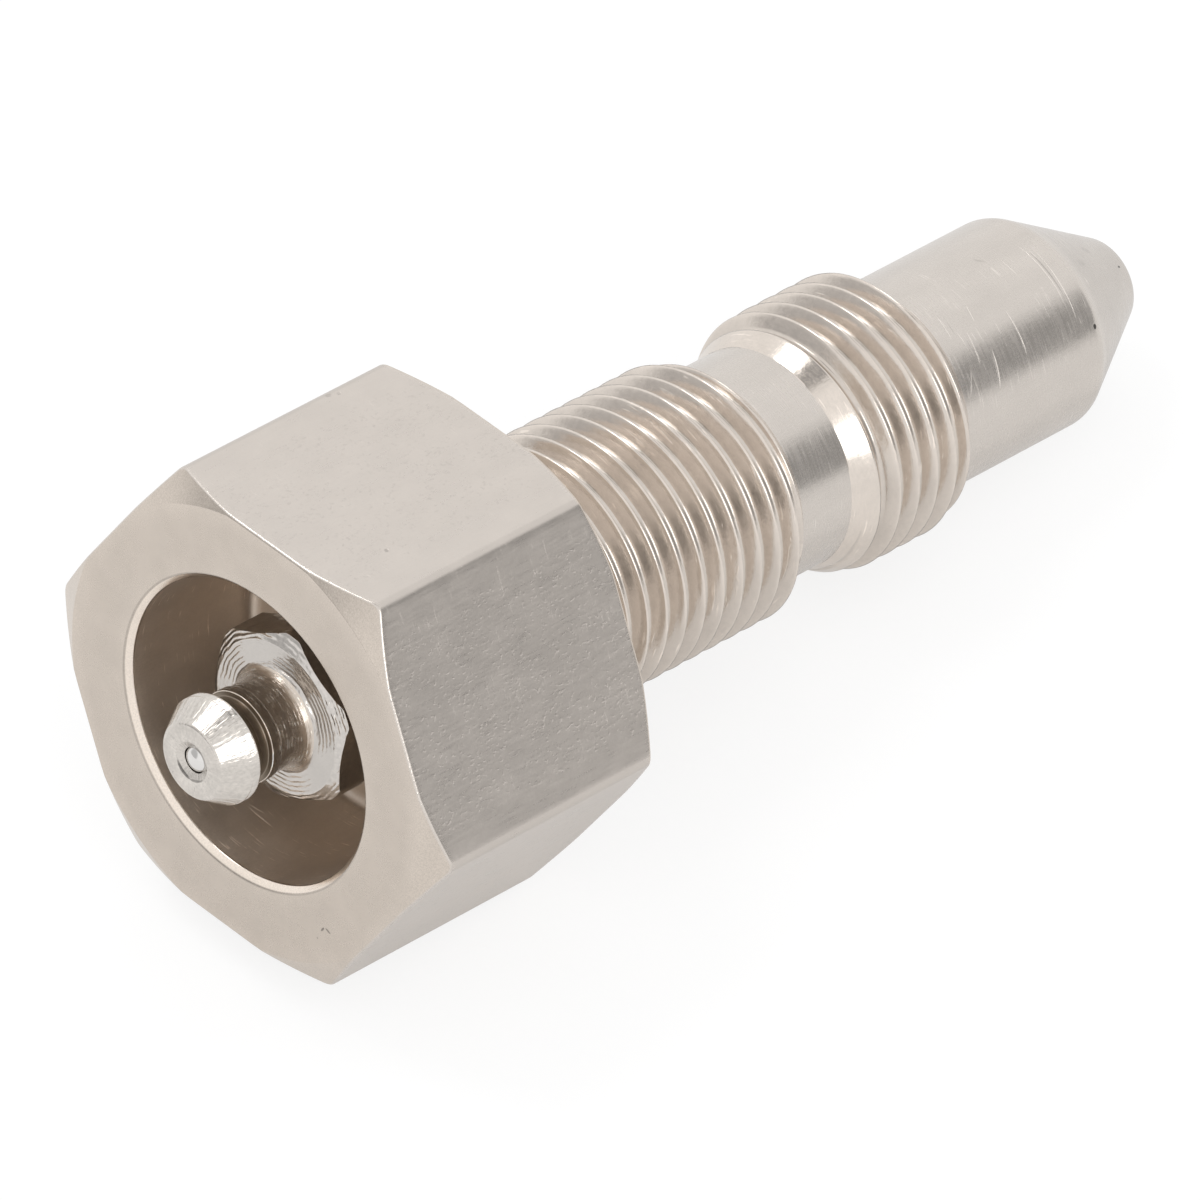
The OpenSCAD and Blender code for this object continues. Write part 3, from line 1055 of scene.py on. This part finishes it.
    def add_nose(self, start: float) -> None:
        """Adds the plain nose, its shoulder, the sealing cone and the rounded end.

        Args:
            start: where the nose starts.
        """
        skin, shank, around = self.skin, Zone.SHANK, math.radians(self.cone_angle)
        cone_start = self.nose[1] + self.nose_shoulder_r * math.tan(around / 2)
        cone_end = cone_start + (self.nose_r - self.cone_end_r) / math.tan(around)
        self.tip = cone_end + self.end_round_r * (1 - math.sin(around))
        skin.line((start, self.nose_r), (self.nose[1], self.nose_r), (0.3, 0.6, 0.9), shank)
        skin.arc((self.nose[1], self.nose_r - self.nose_shoulder_r), self.nose_shoulder_r,
                 0, self.cone_angle, 8, shank)
        skin.line((cone_start, self.nose_r), (cone_end, self.cone_end_r), (0.25, 0.5, 0.75), shank)
        center = (self.tip - self.end_round_r, self.cone_end_r - self.end_round_r * math.cos(around))
        skin.arc(center, self.end_round_r, self.cone_angle, 90, 10, shank)
        skin.ring(self.tip, self.end_rim_r, shank)

    def add_bores(self) -> None:
        """Adds the outlet, the passage, the tapped hole and the recess."""
        skin, bore, recess = self.skin, Zone.BORES, Zone.RECESS
        edge, rise = self.outlet_edge_r, 1 / math.tan(math.radians(self.drill_half_angle))
        passage_end = self.tip - self.outlet_l
        skin.arc((self.tip - edge, self.outlet_r + edge), edge, 90, 180, 3, bore, 0.6)
        for along, radius in (
                (passage_end + (self.passage_r - self.outlet_r) * rise, self.outlet_r),
                (passage_end, self.passage_r),
                (self.tapped_end + (self.tapped_root_r - self.passage_r) * rise, self.passage_r),
                (self.tapped_end, self.tapped_root_r),
                (self.recess_depth + self.tapped_bevel, self.tapped_mouth_r)):
            skin.ring(along, radius, bore)
        bevel = self.recess_corner_bevel
        skin.ring(self.recess_depth, self.tapped_mouth_r + self.tapped_bevel, recess, 0.5)
        for radius in (*self.floor_rings, self.recess_r - bevel - 0.1):
            skin.ring(self.recess_depth, radius, recess)
        skin.arc((self.recess_depth - bevel, self.recess_r - bevel), bevel, 90, 0, 5, recess, 0.3)
        for share in (0.75, 0.5, 0.25):
            skin.ring(self.recess_mouth_bevel + (self.recess_depth - bevel) * share, self.recess_r, recess)


@dataclass
class GreaseNipple:
    """The nipple: grooved head, collar, flared neck, hexagon, taper thread and stepped bore."""

    lay: Lay
    front: float = -4.0
    front_r: float = 2.4
    front_bevel: float = 0.25
    head_r: float = 3.25
    groove_r: float = 2.45
    collar_start: float = -0.45
    collar_end: float = 0.25
    collar_r: float = 2.8
    neck_r: float = 2.6
    foot_r: float = 3.3
    hex_start: float = 2.5
    hex_end: float = 5.3
    hex_af: float = 10.0
    hex_face_r: float = 4.7
    hex_corner_r: float = 5.5
    hex_edge_r: float = 0.25
    relief_r: float = 4.3
    relief_end: float = 6.1
    thread_end: float = 12.9
    thread_end_r: float = 4.75
    thread_root_r: float = 4.25
    thread_pitch: float = 0.907
    thread_depth: float = 0.5
    thread_taper: float = 0.03125
    bore_r: float = 1.45
    lip_mouth_r: float = 1.2
    lip_hole_r: float = 0.8
    lip_mouth_l: float = 0.2
    lip_land_l: float = 0.1
    staked_r: float = 0.7
    staked_l: float = 0.6
    soft: float = 0.06
    margin: float = 0.1
    cone_angle: float = 32.0
    land_round_r: float = 0.15
    hex_chamfer_angle: float = 30.0
    flare_share: float = 0.6
    flare_power: int = 6
    bright_from: float = 0.9
    columns: Columns = field(default_factory=lambda: Columns(120, math.radians(59), 0.7))
    finishes: tuple[MetalFinish, ...] = (
        MetalFinish("nipple_head_fluted_plate", (0.65, 0.61, 0.565), 0.18, Grain.FLUTED, grain_height=0.0,
                    peel_height=0.012, peel_scale=1.6, streak_scale=3.2, streak_stretch=0.12,
                    streak_tone=0.16, streak_rough=0.12, streak_height=0.05, tone=0.2, reach=3.0,
                    crown=Shade(-2.5, -1.8, 0.3), marks=NIPPLE_MARKS, marks_by_radius=True),
        # dark tint of the groove behind the head: painted shade in the groove, with some oil
        MetalFinish("nipple_groove_dark_steel", (0.3, 0.25, 0.2), 0.34, peel_height=0.01),
        MetalFinish("nipple_neck_turned_steel", (0.68, 0.605, 0.53), 0.24, grain_height=0.0,
                    peel_height=0.02, peel_scale=1.6, streak_tone=0.16, streak_height=0.02,
                    scratch_tone=0.9, scratch_scale=11.0, scratch_level=0.57, tone_scale=1.2),
        MetalFinish("nipple_hexagon_bright_plate", (0.61, 0.575, 0.54), 0.2, grain_height=0.0,
                    peel_height=0.03, peel_scale=0.8, peel_stretch=1.0, ring_height=0.026, face_fall=0.12,
                    streak_tone=0.05, streak_rough=0.05, tone=0.1, tone_scale=0.35),
        MetalFinish("nipple_inside_turned_steel", (0.5, 0.46, 0.42), 0.3),
    )

    def __post_init__(self) -> None:
        """Reads the place of the head's land from the record."""
        self.land = self.lay.span("nipple_coupling")
        self.skin = Skin(self.columns)

    def build(self) -> Object:
        """Builds the nipple and hangs it on the CAD model's body.

        Returns:
            The finished piece.
        """
        materials = [finish.material(self.lay) for finish in self.finishes]
        inside = NippleZone.INSIDE
        crest_r = self.thread_end_r + self.thread_taper * (self.thread_end - self.relief_end)
        sleeve = ThreadSleeve(self.relief_end, self.thread_end, self.relief_r, self.thread_root_r, crest_r,
                              self.columns, pitch=self.thread_pitch, depth=self.thread_depth,
                              taper=self.thread_taper, rows_per_turn=12)
        self.add_head()
        self.add_neck()
        self.add_hexagon()
        self.skin.leave_room(sleeve, inside, inside)
        self.add_bore()
        parts = [self.skin.mesh("nipple_skin"), sleeve.mesh("nipple_thread", materials, inside)]
        piece = finish_piece("grease_nipple", self.lay, parts, materials)
        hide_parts("nipple_body")
        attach(piece, "valve")
        return piece

    def add_head(self) -> None:
        """Adds the countersunk front and the head."""
        skin, soft, head, edge = self.skin, self.soft, NippleZone.HEAD, self.land_round_r
        skin.ring(self.front + self.lip_mouth_l, self.lip_hole_r, head)
        skin.ring(self.front + soft, self.lip_mouth_r - soft / 2, head)
        skin.ring(self.front, self.lip_mouth_r + soft / 2, head, 1.0)
        skin.ring(self.front, self.front_r - self.front_bevel - soft, head)
        skin.arc((self.front + self.front_bevel, self.front_r - self.front_bevel), self.front_bevel,
                 -90, -self.cone_angle, 5, head, 0.6)
        skin.arc((self.land[0] + self.margin, self.head_r - edge), edge, -self.cone_angle, 0, 4, head, 0.6)
        skin.arc((self.land[1] - soft, self.head_r - soft), soft, 0, 45, 3, NippleZone.GROOVE)

    def add_neck(self) -> None:
        """Adds the groove, the small collar and the flared neck."""
        skin, soft, neck, groove = self.skin, self.soft, NippleZone.NECK, NippleZone.GROOVE
        slope_end = self.land[1] + self.head_r - self.groove_r
        skin.ring(slope_end - self.margin, self.groove_r + soft, groove)
        skin.ring(slope_end + self.margin / 2, self.groove_r, groove)
        skin.ring(self.collar_start - soft, self.groove_r, groove)
        skin.ring(self.collar_start, self.groove_r + soft, groove)
        skin.arc((self.collar_start + soft, self.collar_r - soft), soft, -90, 0, 3, neck)
        skin.arc((self.collar_end - soft, self.collar_r - soft), soft, 0, 90, 3, neck)
        for share in np.linspace(0, 1, 17):
            flare = (1 - self.flare_share) * share + self.flare_share * share ** self.flare_power
            skin.ring(self.collar_end + (self.hex_start - self.collar_end) * share,
                      self.neck_r + (self.foot_r - self.neck_r) * flare,
                      neck if share < self.bright_from else NippleZone.HEXAGON)

    def add_hexagon(self) -> None:
        """Adds the hexagon with its round front, and the relief behind it."""
        skin, soft, bright, slope = self.skin, self.soft, NippleZone.HEXAGON, self.hex_chamfer_angle
        outline = RoundHexagon(self.hex_af, self.hex_edge_r, self.columns.corner_at).radius(skin.angles)
        outline = np.minimum(outline, self.hex_corner_r)
        lean = math.radians(slope)
        low_r = self.hex_face_r - soft * math.tan(lean / 2)
        shelf = (soft + math.sin(lean) * (outline - soft - self.hex_face_r)) / math.cos(lean)
        for radius in np.linspace(self.foot_r + self.margin, low_r - self.margin, 6):
            skin.ring(self.hex_start, radius, bright)
        skin.arc((self.hex_start + soft, low_r), soft, -90, slope - 90, 2, bright, 1.0)
        skin.arc((self.hex_start + shelf, outline - soft), soft, slope - 90, 0, 4, bright, 1.0)
        skin.ring(self.hex_end - 3 * self.margin, outline, bright)
        skin.arc((self.hex_end - soft, outline - soft), soft, 0, 90, 4, bright, 1.0)
        skin.ring(self.hex_end, self.relief_r, NippleZone.INSIDE)

    def add_bore(self) -> None:
        """Adds the staked end, the spring's bore and the seat of the ball."""
        stake, lip_end = self.thread_end - self.staked_l, self.front + self.lip_mouth_l + self.lip_land_l
        for along, radius in ((self.thread_end, self.staked_r), (stake, self.staked_r), (stake, self.bore_r),
                              (lip_end + self.bore_r - self.lip_hole_r, self.bore_r)):
            self.skin.ring(along, radius, NippleZone.INSIDE)
        self.skin.ring(lip_end, self.lip_hole_r, NippleZone.HEAD)


@dataclass
class CheckParts:
    """The ball that closes the nipple and the spring behind it."""

    lay: Lay
    ball_r: float = 1.15
    wire_r: float = 0.15
    coil_r: float = 0.9
    gap: float = 0.03
    spring_end: float = 12.12
    travel: float = 0.8
    ball_cuts: int = 23
    ball_finish: MetalFinish = MetalFinish("ball_polished_steel", (0.78, 0.76, 0.74), 0.06,
                                           grain_height=0.0, peel_height=0.0003, tone=0.03)
    wire_finish: MetalFinish = MetalFinish("spring_drawn_wire", (0.52, 0.50, 0.48), 0.22,
                                           grain_height=0.0005, peel_height=0.0005)

    def __post_init__(self) -> None:
        """Reads the ball's place from its solid, and seats the spring's first turn on its back."""
        low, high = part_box("nipple_ball")
        self.ball_center = self.lay.along((low + high) / 2)
        reach = self.ball_r + self.wire_r + self.gap
        self.spring_start = self.ball_center + math.sqrt(reach ** 2 - self.coil_r ** 2)

    def build(self) -> list[Object]:
        """Builds the ball and the spring."""
        return [self.ball(), self.spring()]

    def ball(self) -> Object:
        """Builds the check ball from a cube whose faces are divided and pushed out to its radius.

        Returns:
            The finished piece.
        """
        bm = bmesh.new()
        bmesh.ops.create_cube(bm, size=2.0)
        bmesh.ops.subdivide_edges(bm, edges=bm.edges[:], cuts=self.ball_cuts, use_grid_fill=True)
        for vert in bm.verts:
            spread = Vector([math.tan(c * math.pi / 4) for c in vert.co])
            vert.co = spread.normalized() * self.ball_r + Vector((self.ball_center, 0, 0))
        mesh = bpy.data.meshes.new("check_ball")
        bm.to_mesh(mesh)
        bm.free()
        piece = finish_piece("check_ball_polished", self.lay, [mesh], [self.ball_finish.material(self.lay)])
        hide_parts("nipple_ball")
        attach(piece, "check_ball")
        return piece

    def spring(self) -> Object:
        """Builds the spring.

        Returns:
            The finished piece.
        """
        material = self.wire_finish.material(self.lay)
        coil = SpringCoil(self.spring_start, self.spring_end).mesh("check_spring", material)
        piece = finish_piece("check_spring_coil", self.lay, [coil], [material])
        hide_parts("nipple_spring")
        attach(piece, "valve")
        anchor = self.lay.matrix() @ Vector((self.spring_end, 0, 0))
        tuple(self.lay.axis())
        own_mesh(piece)
        return piece


# Studio


@dataclass(frozen=True)
class Panel:
    """Dark round panel in the room: its direction, the cosines of its edges and its darkness."""

    toward: Vector
    outer: float
    inner: float
    darkness: float


@dataclass
class Studio:
    """Pale floor, soft light and the camera."""

    floor_half: float = 0.45
    floor_tone: float = 0.8
    floor_glow: float = 0.72
    floor_mirror_glow: float = 0.35
    floor_white: float = 1.1
    aim: Vector = Vector((0, 0, 0.012))
    azimuth: float = -44.18
    elevation: float = 44.5
    roll: float = -0.345
    distance: float = 1.0
    pixels: float = 1200.0
    pixels_per_mm: float = 17.79
    aim_pixel: tuple[float, float] = (657.95, 502.35)
    sensor: float = 36.0
    panels: tuple[Panel, ...] = (
        Panel(Vector((0.64, -0.73, 0.17)), 0.86, 0.965, 0.62),
        Panel(Vector((-0.83, 0.53, 0.18)), 0.86, 0.96, 0.42),
        Panel(Vector((-0.07, 0.09, 0.99)), 0.972, 0.986, 0.65),
    )

    def build(self) -> None:
        """Builds the floor, the light and the camera."""
        self.floor()
        self.world()
        self.lamps()
        self.camera()

    def floor(self) -> None:
        """Builds the floor, a little brighter for the camera so that it comes out white."""
        made = bpy.data.materials.new("studio_floor")
        tree = empty_tree(made)
        path = tree.nodes.new("ShaderNodeLightPath")
        seen, mirrored = (Value(tree, path.outputs[name]) for name in ("Is Camera Ray", "Is Glossy Ray"))
        share = seen * self.floor_glow + mirrored * self.floor_mirror_glow
        cloth = add_node(tree, "ShaderNodeBsdfDiffuse", {"Color": (*(self.floor_tone,) * 3, 1)})
        glow = add_node(tree, "ShaderNodeEmission", {"Strength": self.floor_white})
        both = add_node(tree, "ShaderNodeMixShader", {0: share, 1: cloth, 2: glow})
        add_node(tree, "ShaderNodeOutputMaterial", {"Surface": both})
        mesh = bpy.data.meshes.new("studio_floor")
        half = self.floor_half
        corners = [(-half, -half, 0), (half, -half, 0), (half, half, 0), (-half, half, 0)]
        mesh.from_pydata(corners, [], [(0, 1, 2, 3)])
        mesh.materials.append(made)
        add_object("studio_floor", mesh)

    def world(self) -> None:
        """Builds the surroundings: white, with dark panels that shape the metal."""
        world = bpy.data.worlds.new("studio_room")
        bpy.context.scene.world = world
        tree = empty_tree(world)
        way = tree.nodes.new("ShaderNodeTexCoord").outputs["Generated"]
        room: Value | float = 1.0
        for panel in self.panels:
            facing = add_node(tree, "ShaderNodeVectorMath", {0: way, 1: panel.toward.normalized()},
                              operation="DOT_PRODUCT")
            near = Value(tree, facing.outputs["Value"]).ramp(panel.outer, panel.inner)
            room = near * -panel.darkness + room
        seen = Value(tree, tree.nodes.new("ShaderNodeLightPath").outputs["Is Camera Ray"])
        back = add_node(tree, "ShaderNodeBackground", {"Color": (1, 1, 1, 1), "Strength": room.high(seen)})
        add_node(tree, "ShaderNodeOutputWorld", {"Surface": back})

    def lamps(self) -> None:
        """Adds two soft lamps, one in front of the valve to its left and one above and behind it."""
        for name, spot, size, power in (
                ("front_lamp", Vector((-0.21, -0.55, 0.38)), 0.3, 0.7),
                ("back_lamp", Vector((-0.11, 0.32, 0.65)), 0.22, 0.6)):
            data = bpy.data.lights.new(name, "AREA")
            data.size = size
            data.energy = power
            lamp = add_object(name, data)
            lamp.location = spot
            lamp.rotation_mode = "QUATERNION"
            lamp.rotation_quaternion = (self.aim - spot).to_track_quat("-Z", "Y")

    def camera(self) -> None:
        """Builds the camera with the photograph's angle and frame."""
        turn, rise, lean = (math.radians(a) for a in (self.azimuth, self.elevation, self.roll))
        back = Vector((math.sin(turn) * math.cos(rise), -math.cos(turn) * math.cos(rise), math.sin(rise)))
        level = Vector((math.cos(turn), math.sin(turn), 0))
        upright = back.cross(level)
        right = level * math.cos(lean) + upright * math.sin(lean)
        up = upright * math.cos(lean) - level * math.sin(lean)
        data = bpy.data.cameras.new("studio_camera")
        data.sensor_width = self.sensor
        data.lens = self.pixels_per_mm / MM * self.distance / self.pixels * self.sensor
        camera = add_object("studio_camera", data)
        middle = self.pixels / 2
        aside = right * (middle - self.aim_pixel[0]) + up * (self.aim_pixel[1] - middle)
        camera.matrix_world = Matrix.Translation(
            self.aim + back * self.distance + aside * (MM / self.pixels_per_mm)
        ) @ Matrix((right, up, back)).transposed().to_4x4()
        data.clip_start = self.distance / 10
        data.clip_end = self.distance * 10
        bpy.context.scene.camera = camera


def report(piece: Object) -> None:
    """Logs how large a piece is and of how many triangles."""
    triangles = sum(face.loop_total - 2 for face in piece.data.polygons)
    LOG.info("%s: %d triangles, %s mm", piece.name, triangles,
             " x ".join(f"{side / MM:.1f}" for side in piece.dimensions))


def main() -> None:
    logging.basicConfig(level=logging.INFO, format="%(name)s %(message)s")
    bpy.context.scene.view_settings.view_transform = "Standard"
    lay = Lay.from_record(ValveBody.head_af, ValveBody.head_l)
    pieces = [ValveBody(lay).build(), GreaseNipple(lay).build(), *CheckParts(lay).build()]
    for piece in pieces:
        report(piece)
    Studio().build()


if __name__ == "__main__":
    main()
